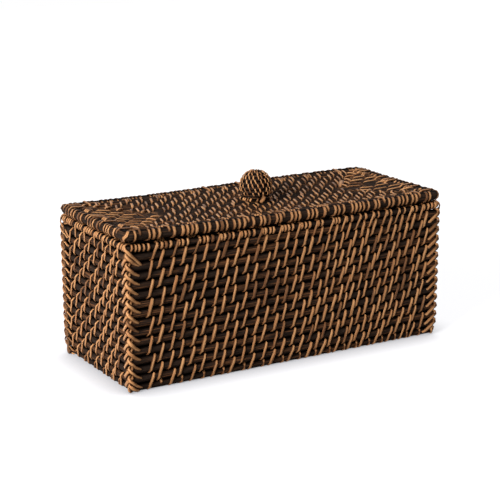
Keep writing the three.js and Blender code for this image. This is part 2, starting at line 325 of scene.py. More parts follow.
# Round the lower rod to its outer side, across to the upper rod, over it and down inside: (which rod, angle
# from the outer side, share of the slant, width, thickness, how pale it stays). How pale it stays is painted
# shade, low at the two ends where the strip dives between the rods.
between_rods = 0.5
outer_run = [(0, -76, 0.02, 0.42, 0.45, 0.1), (0, -52, 0.07, 0.84, 0.9, 0.62),
             (0, -14, 0.27, 1.08, 1.0, 0.9), (between_rods, 0, 0.50, 1.14, 1.0, 1.0),
             (1, 12, 0.73, 1.10, 1.0, 1.0), (1, 50, 0.94, 0.94, 0.95, 1.0), (1, 76, 1.00, 0.50, 0.45, 0.12)]
# Back inside to the next stitch: (which rod, angle, share of the way to it). One rod needs only two places.
inner_run = [(1, 112, 0.02), (1, 146, 0.08), (1, 180, 0.24), (between_rods, 180, 0.50), (0, 180, 0.76),
             (0, 214, 0.92), (0, 248, 0.98)]
inner_run_of_one = [(1, 146, 0.08), (0, 214, 0.92)]
# Between two rods a strip is pressed in to this share of their radius, and it never goes into the ground.
groove_press = 0.93
lowest_peel = 0.72 * mm


def station(track, distance, lower, upper, which, angle, lift):
    """A place on the way round two rods, each (out, up, radius), and the way it faces."""
    place, outward, swell = track(distance)
    rise = Vector((upper[0] - lower[0], upper[1] - lower[1]))
    along = rise.normalized() if rise.length > 1e-6 else Vector((0, 1))
    face = Vector((along.y, -along.x))
    turn = math.radians(angle)
    way = face * math.cos(turn) + along * math.sin(turn)
    if which == between_rods:
        middle = Vector((lower[0] + upper[0], lower[1] + upper[1])) / 2
        reach = (lower[2] + upper[2]) / 2 * groove_press + lift
    else:
        rod = upper if which else lower
        middle = Vector(rod[:2])
        reach = rod[2] + lift
    spot = middle + way * reach
    place = place + outward * (spot.x * swell) + up * spot.y
    place.z = max(place.z, lowest_peel)
    return place, outward * way.x + up * way.y


def wind(bm, track, turns, width, thickness, taper=1.0, run=outer_run):
    """One strip wound turn after turn. Each turn is (distance, slant, lower rod, upper rod, width, tone).
    The track gives the place, the way out and the swell at a distance along the rods.
    Taper says how far the strip narrows where it dives between the rods."""
    path = []
    lift = thickness / 2 + 0.03 * mm
    for turn, (start, slant, lower, upper, wide, tone) in enumerate(turns):
        single = lower == upper
        for which, angle, share, w, t, shade in run:
            if single and which == between_rods:
                continue
            place, facing = station(track, start + slant * share, lower, upper, which, angle, lift * t)
            path.append((place, facing, (1 + (w - 1) * taper) * wide, t, tone * shade, 0))
        if turn + 1 < len(turns):
            begin = start + slant
            rest = turns[turn + 1][0] - begin
            for which, angle, share in inner_run_of_one if single else inner_run:
                place, facing = station(track, begin + rest * share, lower, upper, which, angle, lift)
                path.append((place, facing, 0.9 * wide, 1.0, tone * 0.9, 0))
    lay(bm, path, width, thickness, sides=8)


def straight(along):
    """The track of rods that run straight along."""
    outward = outward_of(along)
    return lambda distance: (along * distance, outward, 1.0)


def wall_rod(plane, row):
    """One row of a wall as (how far out, how high, radius)."""
    return plane - row_inset - row_leans[row], row_heights[row], row_radii[row]


def eased(share):
    """A share held between 0 and 1, that starts and stops gently."""
    share = min(max(share, 0), 1)
    return share * share * (3 - 2 * share)


def stitch_places(length, shift):
    """Where one pair's stitches stand from the row's left end: 22 mm apart, and 16 further on."""
    is_long_wall = length > 200 * mm
    s = 17.5 * mm if is_long_wall else -2.1 * mm
    places = []
    half = 0
    while s < length - 6 * mm:
        if half % 2 == shift and s > 5 * mm:
            places.append(s)
        half_step = 10.9 - 3.1 * eased((s / length - 0.42) / 0.25)
        s += half_step * mm
        half += 1
    return places


def pale(rng):
    """How pale one stitch is: most are honey tan, a few are brown."""
    return rng.uniform(0.12, 0.5) if rng.random() < 0.1 else rng.uniform(0.72, 1.05)


shift_per_row = 0.22 * mm
for name, (along, plane, reach) in wall_sides.items():
    bm = new_stock()
    for k in range(len(row_heights) - 1):
        turns = []
        for s in stitch_places(2 * reach, (k + 1) % 2):
            slant = rng.uniform(5.6, 8.6) * mm
            middle = s - reach - shift_per_row * k + rng.uniform(-1.8, 1.8) * mm
            turns.append((middle - slant / 2, slant, wall_rod(plane, k + 1), wall_rod(plane, k),
                          rng.uniform(0.84, 1.14), pale(rng)))
        wind(bm, straight(along), turns, stitch_width, peel_thickness)
    stitches = piece_of(bm, f"{name}_wall_stitches", peel)
    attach(stitches, "body")


# The corner lacing. The panels' sawn ends leave each corner open, and one strip of peel climbs it from the
# floor to the rim: over the corner and down to the right, back inside, and up from the left beneath itself.

corner_bend = 2.4 * mm
half_bend = corner_bend * math.pi / 4
strap_width = 3.0 * mm


def lean_at(height):
    """How far the walls have leaned in at a height."""
    low, lean = row_heights[-1], row_leans[-1]
    for high, less in zip(reversed(row_heights), reversed(row_leans)):
        if height <= high:
            share = (height - low) / (high - low) if high > low else 0
            return lean + (less - lean) * max(share, 0)
        low, lean = high, less
    return 0.0


def corner_spot(trailing, leading, u, height, depth):
    """A place by a corner: u along the outside from its middle, at a height, and depth in from there."""
    (along_a, plane_a, _), (along_b, plane_b, _) = trailing, leading
    out_a, out_b = outward_of(along_a), outward_of(along_b)
    inset = corner_bend + 0.45 * lean_at(height)
    centre = out_a * (plane_a - inset) + out_b * (plane_b - inset)
    if u < -half_bend:
        facing, along = out_a, out_b * (u + half_bend)
    elif u > half_bend:
        facing, along = out_b, out_a * (half_bend - u)
    else:
        turn = (u / half_bend + 1) * math.pi / 4
        facing, along = out_a * math.cos(turn) + out_b * math.sin(turn), Vector()
    return centre + facing * (corner_bend - depth) + along + up * height, facing


# Each stop: millimetres along from the corner, up from the row and in from the outside, and how wide.
over_run = [(-1.2, 5.6, 3.6, 0.6), (-0.9, 5.0, 0.3, 0.95), (-0.4, 3.6, -1.9, 1.1), (0.7, 1.2, -2.6, 1.14),
            (2.4, -1.3, -2.2, 1.12), (4.8, -3.7, -0.9, 1.06), (7.8, -5.7, -0.1, 0.95),
            (10.6, -7.1, 0.3, 0.78), (12.4, -7.9, 1.4, 0.5), (13.0, -8.3, 4.0, 0.4)]
inside_run = [(12.8, -9.0, 8.6, 0.8), (12.0, -9.6, 10.4, 0.9), (-11.0, -9.8, 10.4, 0.9),
              (-12.4, -9.6, 8.6, 0.8)]
under_run = [(-12.4, -9.6, 4.2, 0.6), (-11.6, -8.9, 1.5, 0.95), (-9.4, -7.0, 0.0, 1.2),
             (-6.2, -4.3, -0.4, 1.28), (-3.2, -1.7, -0.9, 1.22), (-0.9, 0.5, -1.3, 1.14),
             (1.4, 2.6, -0.5, 1.0), (3.6, 4.4, 1.8, 0.8), (4.4, 5.2, 4.6, 0.6)]
rim_run = [(-1.6, 13.6, 4.6, 0.8), (-1.6, 13.4, 1.0, 0.95), (-1.2, 11.6, -1.9, 1.05),
           (-0.3, 8.8, -2.6, 1.1), (1.2, 5.9, -2.5, 1.12), (3.4, 3.0, -1.6, 1.12), (6.4, 0.2, -0.6, 1.06),
           (9.6, -2.8, -0.1, 0.98), (12.8, -5.8, 0.2, 0.82), (15.4, -8.2, 1.6, 0.5), (16.2, -9.2, 4.4, 0.45)]
foot_run = [(-2.6, 5.4, 3.4, 0.5), (-2.2, 3.6, -0.1, 0.9), (-1.5, 1.2, -0.7, 1.0), (-0.8, -1.0, -0.5, 0.95),
            (-0.2, -2.6, 0.6, 0.75), (0.0, -3.2, 3.4, 0.5)]
last_run = [(-3.0, 6.4, 4.2, 0.7), (-1.8, 5.6, 0.4, 1.0), (-0.3, 3.8, -1.2, 1.08), (1.8, 1.2, -1.2, 1.08),
            (4.6, -0.9, -0.4, 1.0), (7.4, -2.3, 0.6, 0.85), (9.4, -3.0, 1.8, 0.6), (10.4, -3.2, 3.8, 0.5)]


def strap(corner, run, height, rng, stretch=1.0):
    """The part of the lacing that crosses the corner once, with its own small slips."""
    slip, slide = rng.uniform(-0.5, 0.5), rng.uniform(-0.45, 0.45)
    wide, tone = rng.uniform(0.86, 1.16), pale(rng)
    stations = []
    for u, rise, depth, w in run:
        high = max(height + (rise + slide) * mm, 0.2 * mm + strap_width / 2 * w * wide)
        place, facing = corner_spot(*corner, (u * stretch + slip) * mm, high, depth * mm)
        stations.append((place, facing, w * wide, 1.0, tone, 0))
    return stations


corner_names = {"front_left": ("left", "front"), "front_right": ("front", "right"),
                "back_right": ("right", "back"), "back_left": ("back", "left")}
rng = random.Random(4)
for name, sides in corner_names.items():
    corner = [wall_sides[side] for side in sides]
    path = strap(corner, foot_run, row_heights[-1], rng) + strap(corner, last_run, row_heights[-1], rng)
    for height in reversed(row_heights[:-1]):
        path += strap(corner, over_run, height, rng, rng.uniform(0.9, 1.08))
        path += strap(corner, inside_run, height, rng)
        path += strap(corner, under_run, height, rng)
    path += strap(corner, rim_run, row_heights[0], rng)
    bm = new_stock()
    lay(bm, path, strap_width, peel_thickness, sides=8)
    lacing = piece_of(bm, f"corner_lacing_{name}_strip", peel)
    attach(lacing, "body")
    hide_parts(f"corner_lacing_{name}")


# The rim. One thick core is bent round the mouth with its ends butted at the back, and a thin one follows it
# in the groove inside. Peel is bound round it, and every third to fifth turn takes in the wall's top row.

def four_sides(half_x, half_y):
    """Front, right, back and left of a rectangle: the way along, half the length, and how far out it is."""
    return [(Vector((1, 0, 0)), half_x, half_y), (Vector((0, 1, 0)), half_y, half_x),
            (Vector((-1, 0, 0)), half_x, half_y), (Vector((0, -1, 0)), half_y, half_x)]


class Lane:
    """The line down the middle of a rod that is bent round the box with tight, nearly square bends.
    Its legs are (the way along, how far out, distance at which it starts, straight length)."""
    stop_spacing = 4.5 * mm
    stops_in_a_bend = 10

    def __init__(self, half_x, half_y, bend, height, spread=1.27):
        self.bend = bend
        self.spread = spread
        self.height = height
        self.legs = []
        self.stops = []
        self.total = 0.0
        corner = bend * math.pi / 2
        for along, half, reach in four_sides(half_x, half_y):
            run = 2 * (half - bend)
            count = round(run / self.stop_spacing)
            self.legs.append((along, reach, self.total, run))
            self.stops += [self.total + run * i / count for i in range(count)]
            self.stops += [self.total + run + corner * j / self.stops_in_a_bend
                           for j in range(self.stops_in_a_bend)]
            self.total += run + corner

    def find(self, distance):
        """The place at a distance round the line, the way outwards there, and how much the bend swells."""
        distance %= self.total
        along, reach, start, run = [leg for leg in self.legs if leg[2] <= distance][-1]
        outward = outward_of(along)
        gone = distance - start
        if gone < run:
            return outward * reach + along * (gone - run / 2) + up * self.height, outward, 1.0
        turn = (gone - run) / self.bend
        facing = outward * math.cos(turn) + along * math.sin(turn)
        swell = min(1 / math.cos(min(turn, math.pi / 2 - turn)), self.spread)
        middle = outward * (reach - self.bend) + along * (run / 2) + up * self.height
        return middle + facing * self.bend * swell, facing, swell


def bent_rod(bm, lane, start, radius, sides, seed, tone):
    """A core bent round the box, from a butt joint at the distance start round to it again."""
    gap = 0.15 * mm
    stops = sorted((stop - start) % lane.total for stop in lane.stops)
    stops = [gap] + [stop for stop in stops if 1 * mm < stop < lane.total - 1 * mm] + [lane.total - gap]
    path = []
    for stop in stops:
        place, facing, swell = lane.find(start + stop)
        aside, higher = (drift(stop, seed + more, 0.2 * mm, 70 * mm) for more in (0, 9))
        place = place + facing * aside + up * higher
        full = 1 + drift(stop, seed + 30, 0.03, 50 * mm)
        path.append((place, facing, full, full * swell, tone + drift(stop, seed + 50, 0.6, 70 * mm), 0))
    lay_core(bm, path, radius, sides)


def sway(place):
    """How far the mouth of the box is out of level: it hangs a little in front and twists at the back."""
    x, y = place.x / (175 * mm), place.y / (68 * mm)
    back = 0.65 * x * (1 + x) + 0.9 * math.sin(math.pi * x)
    return (min(y, 0) * 1.2 * (1 - x * x) + max(y, 0) * back) * mm


def rim_fall(place):
    """How far the rim is out of level at a place. Its short sides stand a little higher than its long ones,
    and the parts of its binding that go round the wall's top row stay down with it."""
    lift = 0.6 * mm * eased((abs(place.x) - 155 * mm) / (14 * mm))
    share = min(max((place.z - 127 * mm) / (5 * mm), 0), 1)
    return (sway(place) + lift) * share


def settle(bm, fall):
    """Moves each point up or down by what fall says of its place."""
    for v in bm.verts:
        v.co.z += fall(v.co)


rim_radius = 3.2 * mm
rim_height = 135.2 * mm
rim_bend = 1.6 * mm
rim_lane = Lane(170.7 * mm, 68.2 * mm, rim_bend, rim_height, spread=1.2)
follower_lane = Lane(167.4 * mm, 64.9 * mm, rim_bend, 131.6 * mm)
edge_core = core_finish("edge_core", rim_radius, warmth=0.75)

bm = new_stock()
bent_rod(bm, rim_lane, 0.7 * rim_lane.total, rim_radius, sides=14, seed=3.0, tone=0.15)
settle(bm, rim_fall)
rim = piece_of(bm, "rim_core", edge_core)
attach(rim, "body")
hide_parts("rim_rod")

bm = new_stock()
bent_rod(bm, follower_lane, 0.3 * rim_lane.total, 1.5 * mm, sides=8, seed=14.0, tone=0.1)
settle(bm, rim_fall)
follower = piece_of(bm, "rim_follower_core", edge_core)
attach(follower, "body")

rng = random.Random(8)
rim_rod = (0.0, 0.0, rim_radius)
turn_pitch = 4.5 * mm
long_turn_room = 4.6 * mm
least_gap = 2.4 * mm
turns = []
for (_, out, start, run), (_, plane, reach) in zip(rim_lane.legs, wall_sides.values()):
    row = (plane - row_inset - out, row_heights[0] - rim_height, core_radius)
    longs = [start + run / 2 - reach + s - 0.5 * mm for s in stitch_places(2 * reach, 0)]
    marks = [(start - 5 * mm, False)] + [(d, True) for d in longs] + [(start + run + 3 * mm, False)]
    for (here, is_long), (there, _) in zip(marks, marks[1:]):
        if is_long:
            turns.append((here + rng.uniform(-0.7, 0.7) * mm, rng.uniform(5.0, 7.5) * mm, row, rim_rod,
                          rng.uniform(0.85, 1.1), pale(rng)))
            here += long_turn_room
        count = max(1, round((there - here) / turn_pitch))
        step = (there - here) / count
        for j in range(count):
            spot = here + step * (j + 0.3) + rng.uniform(-0.7, 0.7) * mm
            if spot < there - least_gap:
                turns.append((spot, rng.uniform(0.2, 1.3) * mm, rim_rod, rim_rod, rng.uniform(0.85, 1.2),
                              pale(rng)))
bm = new_stock()
wind(bm, rim_lane.find, turns, width=2.55 * mm, thickness=1.0 * mm, taper=0.35)
settle(bm, rim_fall)
rim_binding = piece_of(bm, "rim_binding", peel)
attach(rim_binding, "body")


# The floor. Rows of core are laid one inside the other, mitred at the corners, round a centre rod. They are
# stitched in pairs like the walls, and the outermost is bound to the lowest row of the walls.

def nested(half_x, half_y, pitch, count):
    """Half the length each way of rows laid one inside the other, from the outermost in."""
    return [(half_x - pitch * i, half_y - pitch * i) for i in range(count)]


def mitred_row(bm, half_x, half_y, height, radius, sides, rng):
    """Four straight cores that meet in mitres."""
    for along, half, reach in four_sides(half_x, half_y):
        outward = outward_of(along)
        seed, tone = rng.uniform(0, 90), rng.uniform(0.3, 0.5)
        count = max(4, round(2 * half / (7 * mm)))
        path = []
        for i in range(count + 1):
            t = 2 * i / count - 1
            s = t * (half - 0.25 * mm)
            full = 1 + drift(s, seed + 40, 0.04, 45 * mm)
            place = along * s + outward * (reach + drift(s, seed, 0.22 * mm, 50 * mm))
            place += up * (height + drift(s, seed + 20, 0.22 * mm, 50 * mm))
            path.append((place, up, full, full, tone + drift(s, seed + 60, 0.95, 32 * mm), -t))
        lay_core(bm, path, radius, sides)


def row_stitches(bm, rings, height, radius, shift, rng, gaps, leans, widths, thickness, shades=(1, 1),
                 run=outer_run):
    """Stitches over two neighbouring mitred rows, one strip to a side. The gaps, leans, widths and shades are
    each for the long sides and for the short ones."""
    outer, inner = (four_sides(*ring) for ring in rings)
    for i, ((along, half, less), (_, _, reach)) in enumerate(zip(inner, outer)):
        gap, lean, width, shade = gaps[i % 2], leans[i % 2], widths[i % 2], shades[i % 2]
        rods = ((reach, height, radius), (less, height, radius))
        room = half - 1.5 * mm
        if room < 4 * mm:
            continue
        turns = []
        s = (math.floor(-room / gap) + shift) * gap
        while s < room:
            slant = lean + rng.uniform(-1.2, 1.2) * mm
            middle = s + rng.uniform(-1.0, 1.0) * mm
            if abs(middle) < room and rng.random() > 0.03:
                turns.append((middle - slant / 2, slant, *rods, rng.uniform(0.82, 1.15), pale(rng) * shade))
            s += gap
        if len(turns) > 1:
            wind(bm, straight(along), turns, width, thickness, run=run)


floor_radius = 4.2 * mm
floor_height = 5.79 * mm
floor_rings = nested(155.765 * mm, 53.265 * mm, pitch=8.8775 * mm, count=6)
floor_centre_half = floor_rings[0][0] - floor_rings[0][1] + floor_radius
rng = random.Random(21)
for i, half in enumerate(floor_rings):
    bm = new_stock()
    mitred_row(bm, *half, floor_height, floor_radius, 10, rng)
    row = piece_of(bm, f"floor_row_{i + 1}_cores", smoked_core)
    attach(row, "body")
    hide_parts(f"floor_row_{i + 1}")

bm = new_stock()
path = [(Vector((s, 0, floor_height)), up, f, f, 0.3, 0) for s, f in sawn_ends(floor_centre_half, 7 * mm)]
lay_core(bm, path, floor_radius, sides=10)
centre = piece_of(bm, "floor_centre_core", smoked_core)
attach(centre, "body")
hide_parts("floor_centre_rod")

bm = new_stock()
floor_lines = floor_rings + [(floor_centre_half, 0.0)]
for i, rings in enumerate(zip(floor_lines, floor_lines[1:])):
    row_stitches(bm, rings, floor_height, floor_radius, 0.5 * (i % 2), rng, gaps=(19 * mm, 15 * mm),
                 leans=(5 * mm, 4 * mm), widths=(stitch_width, stitch_width), thickness=peel_thickness)
for (along, plane, reach), (_, _, ring) in zip(wall_sides.values(), four_sides(*floor_rings[0])):
    rods = wall_rod(plane, -1), (ring, floor_height, floor_radius)
    turns = []
    for s in stitch_places(2 * reach, 1):
        start = s - reach - 1.5 * mm + rng.uniform(-1, 1) * mm
        turns.append((start, 1.5 * mm, *rods, rng.uniform(0.85, 1.1), pale(rng)))
    wind(bm, straight(along), turns, stitch_width, peel_thickness, taper=0.7)
floor_stitching = piece_of(bm, "floor_stitches", peel)
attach(floor_stitching, "body")


# The lid's edge. A rod thicker than the rim is bent round the lid, butted at the back, and bound with peel
# in groups of two to five turns. Half of those at the ends, and a few others, take in the lid's first row.

lid_radius = 4.05 * mm
lid_height = 146.007 * mm
lid_rings = nested(160.507 * mm, 58.007 * mm, pitch=8.2867 * mm, count=7)
edge_radius = 4.8 * mm
edge_height = 145.6 * mm
edge_half = (170.6 * mm, 67.2 * mm)
edge_lane = Lane(*edge_half, edge_radius, edge_height, spread=1.07)


def lid_fall(place):
    """How far the lid hangs: it follows the mouth, lifts at its near left corner, and dips inside."""
    lift = 1.4 * mm * max(-place.x / edge_half[0] - 0.25, 0) * max(-place.y / edge_half[1], 0)
    front = eased((place.y + edge_half[1]) / (24 * mm))
    back = eased((edge_half[1] - place.y) / (60 * mm))
    end = eased((edge_half[0] - abs(place.x)) / (40 * mm))
    return sway(place) + lift - 3.4 * mm * front * back * end


bm = new_stock()
bent_rod(bm, edge_lane, 0.62 * edge_lane.total, edge_radius, sides=16, seed=12.0, tone=0.1)
settle(bm, lid_fall)
lid_edge = piece_of(bm, "lid_edge_core", edge_core)
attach(lid_edge, "lid")
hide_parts("lid_edge_rod")

rng = random.Random(31)
edge_rod = (0.0, 0.0, edge_radius)
first_row = (lid_rings[0][0] - edge_half[0], lid_height - edge_height, lid_radius)
shares_taking_in = (0.14, 0.5, 0.04, 0.5)
stretches = (1, 1.2, 1, 1.2)
turns = []
for (_, _, start, run), share, stretch in zip(edge_lane.legs, shares_taking_in, stretches):
    distance = start + rng.uniform(1, 3) * mm
    while distance < start + run - 2 * mm:
        for _ in range(rng.choice((2, 3, 3, 4, 5))):
            if distance < start + run - 1 * mm:
                taken_in = first_row if rng.random() < share else edge_rod
                turns.append((distance, rng.uniform(0.0, 1.2) * mm, edge_rod, taken_in,
                              rng.uniform(0.8, 1.15), pale(rng)))
            distance += rng.uniform(4.1, 5.5) * stretch * mm
        distance += rng.uniform(2.0, 5.5) * mm
    turns.append((start + run + 2.2 * mm, 2.6 * mm, edge_rod, edge_rod, 1.1, 1.0))
bm = new_stock()
wind(bm, edge_lane.find, turns, width=2.95 * mm, thickness=peel_thickness, taper=0.3)
settle(bm, lid_fall)
lid_binding = piece_of(bm, "lid_edge_binding", peel)
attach(lid_binding, "lid")


# The lid's rows. Like the floor's, they are mitred cores round a centre rod, stitched in pairs. The stitches
# stand half a space over from one pair to the next, and straps cross the mitres to hold the sawn ends.

lid_core = core_finish("lid_core", lid_radius, warmth=0.9, groove_shade=(0.22, 0.72))
rng = random.Random(44)
for i, half in enumerate(lid_rings):
    bm = new_stock()
    mitred_row(bm, *half, lid_height, lid_radius, 12, rng)
    settle(bm, lid_fall)
    row = piece_of(bm, f"lid_row_{i + 1}_cores", lid_core)
    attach(row, "lid")
    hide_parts(f"lid_row_{i + 1}")

lid_centre_half = 106.49 * mm
bm = new_stock()
path = [(Vector((s, 0, lid_height)), up, f, f, 0.25 + drift(s, 5, 0.5, 60 * mm), 0)
        for s, f in sawn_ends(lid_centre_half, 6 * mm)]
lay_core(bm, path, lid_radius, sides=12)
settle(bm, lid_fall)
centre = piece_of(bm, "lid_centre_core", lid_core)
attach(centre, "lid")
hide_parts("lid_centre_rod")

# As outer_run, but shorter, and darkened at its two ends as painted shade where it goes down between the
# rows.
lid_run = [(0, -64, 0.00, 0.36, 0.3, 0.05), (0, -38, 0.08, 0.64, 0.75, 0.2),
           (0, -12, 0.26, 1.02, 1.0, 0.95), (between_rods, 0, 0.50, 1.12, 1.0, 1.0),
           (1, 10, 0.74, 1.06, 1.0, 1.0), (1, 34, 0.92, 0.82, 0.85, 0.5), (1, 62, 1.00, 0.40, 0.3, 0.05)]
bm = new_stock()
lid_lines = lid_rings + [(lid_centre_half, 0.0)]
for i, rings in enumerate(zip(lid_lines, lid_lines[1:])):
    row_stitches(bm, rings, lid_height, lid_radius, 0.5 * (i % 2) + 0.06 * i, rng,
                 gaps=(16.0 * mm, 20.5 * mm), leans=(6.6 * mm, 4.2 * mm), widths=(2.1 * mm, 1.8 * mm),
                 thickness=0.9 * mm, shades=(0.96, 0.9), run=lid_run)
settle(bm, lid_fall)
lid_stitching = piece_of(bm, "lid_stitches", peel)
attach(lid_stitching, "lid")

# Each stop of a strap: share of its half length, millimetres above the rows, and how wide.
mitre_arch = [(-1.0, -3.8, 0.5), (-0.9, -1.0, 0.7), (-0.64, 0.35, 1.0), (-0.28, 0.75, 1.08),
              (0.08, 0.9, 1.1), (0.42, 0.7, 1.06), (0.68, 0.3, 1.0), (0.9, -1.0, 0.7), (1.0, -3.8, 0.5)]


def mitre_strap(bm, middle, turn, half, width, tone):
    """One strap lying over the lid's rows, its two ends tucked between them."""
    across = Vector((math.cos(turn), math.sin(turn), 0))
    # Painted shade: the strap's ends, tucked down between the rows, are darkened.
    path = [(middle + across * (t * half) + up * (lid_height + lid_radius + rise * mm), up, w, 1.0,
             tone * (1 if rise > 0 else 0.3), 0) for t, rise, w in mitre_arch]
    lay(bm, path, width, peel_thickness, sides=8)


bm = new_stock()
for x_way in (-1, 1):
    for y_way in (-1, 1):
        for outer, inner in zip(lid_rings, lid_rings[1:]):
            middle = Vector((x_way * (outer[0] + inner[0]) / 2, y_way * (outer[1] + inner[1]) / 2, 0))
            turn = math.atan2(-x_way, y_way) + rng.uniform(-0.6, 0.6)
            half, width = rng.uniform(4.5, 6.5) * mm, rng.uniform(1.7, 2.3) * mm
            mitre_strap(bm, middle, turn, half, width, pale(rng) * 0.9)

# One broad strap lies slantwise over the rows to the right of the knob.
broad_middle = Vector((117.0 * mm, 19.5 * mm, 0.3 * mm))
mitre_strap(bm, broad_middle, turn=0.88, half=13 * mm, width=4.6 * mm, tone=1.0)
settle(bm, lid_fall)
mitre_straps = piece_of(bm, "lid_mitre_straps", peel)
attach(mitre_straps, "lid")


# The locating frame. A thin core bent round and tied under the first row of the lid, just inside the rim,
# so that the lid can't slide off.

frame_radius = 2.9 * mm
frame_height = 138.7 * mm
frame_half = (161.7 * mm, 59.2 * mm)
frame_lane = Lane(*frame_half, 3.6 * mm, frame_height)
bm = new_stock()
bent_rod(bm, frame_lane, 0.2 * frame_lane.total, frame_radius, sides=10, seed=27.0, tone=0.2)
settle(bm, lid_fall)
locating = piece_of(bm, "locating_frame_core", edge_core)
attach(locating, "lid")
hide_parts("lid_locating_frame")

rng = random.Random(52)
frame_rod = (0.0, 0.0, frame_radius)
tied_row = (lid_rings[0][0] - frame_half[0], lid_height - frame_height, lid_radius + 0.2 * mm)
tie_spacing = 34 * mm
tie_pitch = 2.9 * mm
bm = new_stock()
for _, _, start, run in frame_lane.legs:
    count = max(2, round(run / tie_spacing))
    for i in range(count):
        spot = start + run * (i + 0.5) / count + rng.uniform(-2, 2) * mm
        turns = [(spot + j * tie_pitch, 0.8 * mm, frame_rod, tied_row, 1.0, pale(rng)) for j in range(3)]
        wind(bm, frame_lane.find, turns, width=2.5 * mm, thickness=peel_thickness, taper=0.4)
settle(bm, lid_fall)
frame_ties = piece_of(bm, "locating_frame_ties", peel)
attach(frame_ties, "lid")


# The knob. A thin core is coiled up into a ball and stitched turn to turn with short strips of peel. It
# stands on a stub of core inside a bound ring, and crossed strips under the lid hold it down.

knob_foot = Vector((1.6 * mm, -1.0 * mm, 0))
ball_centre = knob_foot + up * 161.7 * mm
coil_radius = 2.25 * mm
coil_reach = 13.4 * mm
# The coil starts at this latitude and climbs so many degrees in each turn, up to the top.
coil_start = -42.0
coil_climb = 16.0
coil_top = 86
coil_turns = 7.9
steps_in_a_turn = 24


def on_ball(latitude, longitude, radius):
    """A place on a sphere round the ball's centre, and the way it faces; the angles are in degrees."""
    rise, round_way = math.radians(latitude), math.radians(longitude)
    level = math.cos(rise)
    facing = Vector((level * math.cos(round_way), level * math.sin(round_way), math.sin(rise)))
    return ball_centre + facing * radius, facing


thin_core = core_finish("thin_core", coil_radius, warmth=0.45)
bm = new_stock()
path = []
for i in range(round(coil_turns * steps_in_a_turn) + 1):
    turn = i / steps_in_a_turn
    place, facing = on_ball(min(coil_start + coil_climb * turn, coil_top), turn * 360, coil_reach)
    path.append((place, facing, 1.0, 1.0, 0.1, 0))
lay_core(bm, path, coil_radius, sides=8)
ball = piece_of(bm, "knob_ball_coil", thin_core)
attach(ball, "lid")
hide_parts("knob_ball")

rng = random.Random(63)
# Each stop of a stitch: degrees up from its middle, millimetres from the ball's centre, and how wide.
ball_arch = [(-8.8, 13.6, 0.4), (-8.2, 15.0, 0.7), (-5.8, 15.85, 1.0), (-2.0, 16.15, 1.1),
             (2.4, 16.15, 1.1), (5.9, 15.85, 0.95), (8.2, 15.0, 0.65), (8.8, 13.6, 0.35)]
# Nearer to the centre than this a stitch is tucked in between two turns, out of the light.
tucked = 15.4
bm = new_stock()
longitude = 190.0
last_longitude = 360 * (coil_turns - 1.1)
while longitude < last_longitude:
    latitude = coil_start + coil_climb * (longitude / 360 + 0.5)
    spread = max(math.cos(math.radians(latitude)), 0.16)
    wide, tone = rng.uniform(0.8, 1.15), pale(rng) - 0.16
    slip, lean = rng.uniform(-3, 3), rng.uniform(0.0, 0.5)
    path = []
    for rise, reach, w in ball_arch:
        place, facing = on_ball(latitude + rise, longitude + (slip - rise * lean) / spread, reach * mm)
        # Painted shade: stitches darken towards the ball's underside, and where they are tucked between two
        # turns.
        underside_shade = min(max((latitude + rise + 40) / 24, 0.1), 1)
        shade = tone * underside_shade * (1 if reach > tucked else 0.12)
        path.append((place, facing, w * wide * (1 if spread > 0.5 else 0.8), 1.0, shade, 0))
    lay(bm, path, 1.3 * mm, 0.8 * mm, sides=8)
    stitches_in_a_turn = 18.5 if spread > 0.6 else 12.5
    longitude += 360 / stitches_in_a_turn
ball_stitches = piece_of(bm, "knob_ball_stitches", peel)
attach(ball_stitches, "lid")

bm = new_stock()
path = [(knob_foot + up * (z * mm), Vector((1, 0, 0)), f, f, 0.1, 0)
        for z, f in ((146.0, 1), (149.0, 1), (151.6, 0.96))]
lay_core(bm, path, radius=7 * mm, sides=20)
stem = piece_of(bm, "knob_stem_core", edge_core)
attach(stem, "lid")
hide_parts("knob_stem")

collar_reach = 14.42 * mm
collar_height = 150.2 * mm
collar_radius = 1.45 * mm
collar_steps = 48
butt_gap = 0.05


def collar_at(distance):
    """The track of the ring round the knob's foot."""
    turn = distance / collar_reach
    facing = Vector((math.cos(turn), math.sin(turn), 0))
    return knob_foot + facing * collar_reach + up * collar_height, facing, 1.0


bm = new_stock()
path = []
for i in range(collar_steps + 1):
    place, facing, _ = collar_at(collar_reach * 2 * math.pi * i / (collar_steps + butt_gap))
    path.append((place, facing, 1.0, 1.0, 0.1, 0))
lay_core(bm, path, collar_radius, sides=10)
collar = piece_of(bm, "knob_collar_core", thin_core)
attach(collar, "lid")
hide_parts("knob_collar")

collar_rod = (0.0, 0.0, collar_radius)
# Each turn of peel round the ring: where it is, in degrees, and its tone.
collar_turns = [(-172, 0.9), (-164, 1.0), (-152, 0.35), (-141, 1.0), (-117, 0.2), (-60, 0.3), (-45, 0.7),
                (-20, 0.4), (5, 0.9), (16, 0.3), (40, 0.8), (71, 0.9), (82, 0.4), (118, 0.9), (140, 0.3),
                (165, 0.8)]
turns = [(collar_reach * math.radians(angle), 0.8 * mm, collar_rod, collar_rod, rng.uniform(0.8, 1.2), tone)
         for angle, tone in collar_turns]
bm = new_stock()
wind(bm, collar_at, turns, width=1.9 * mm, thickness=0.7 * mm, taper=0.5)

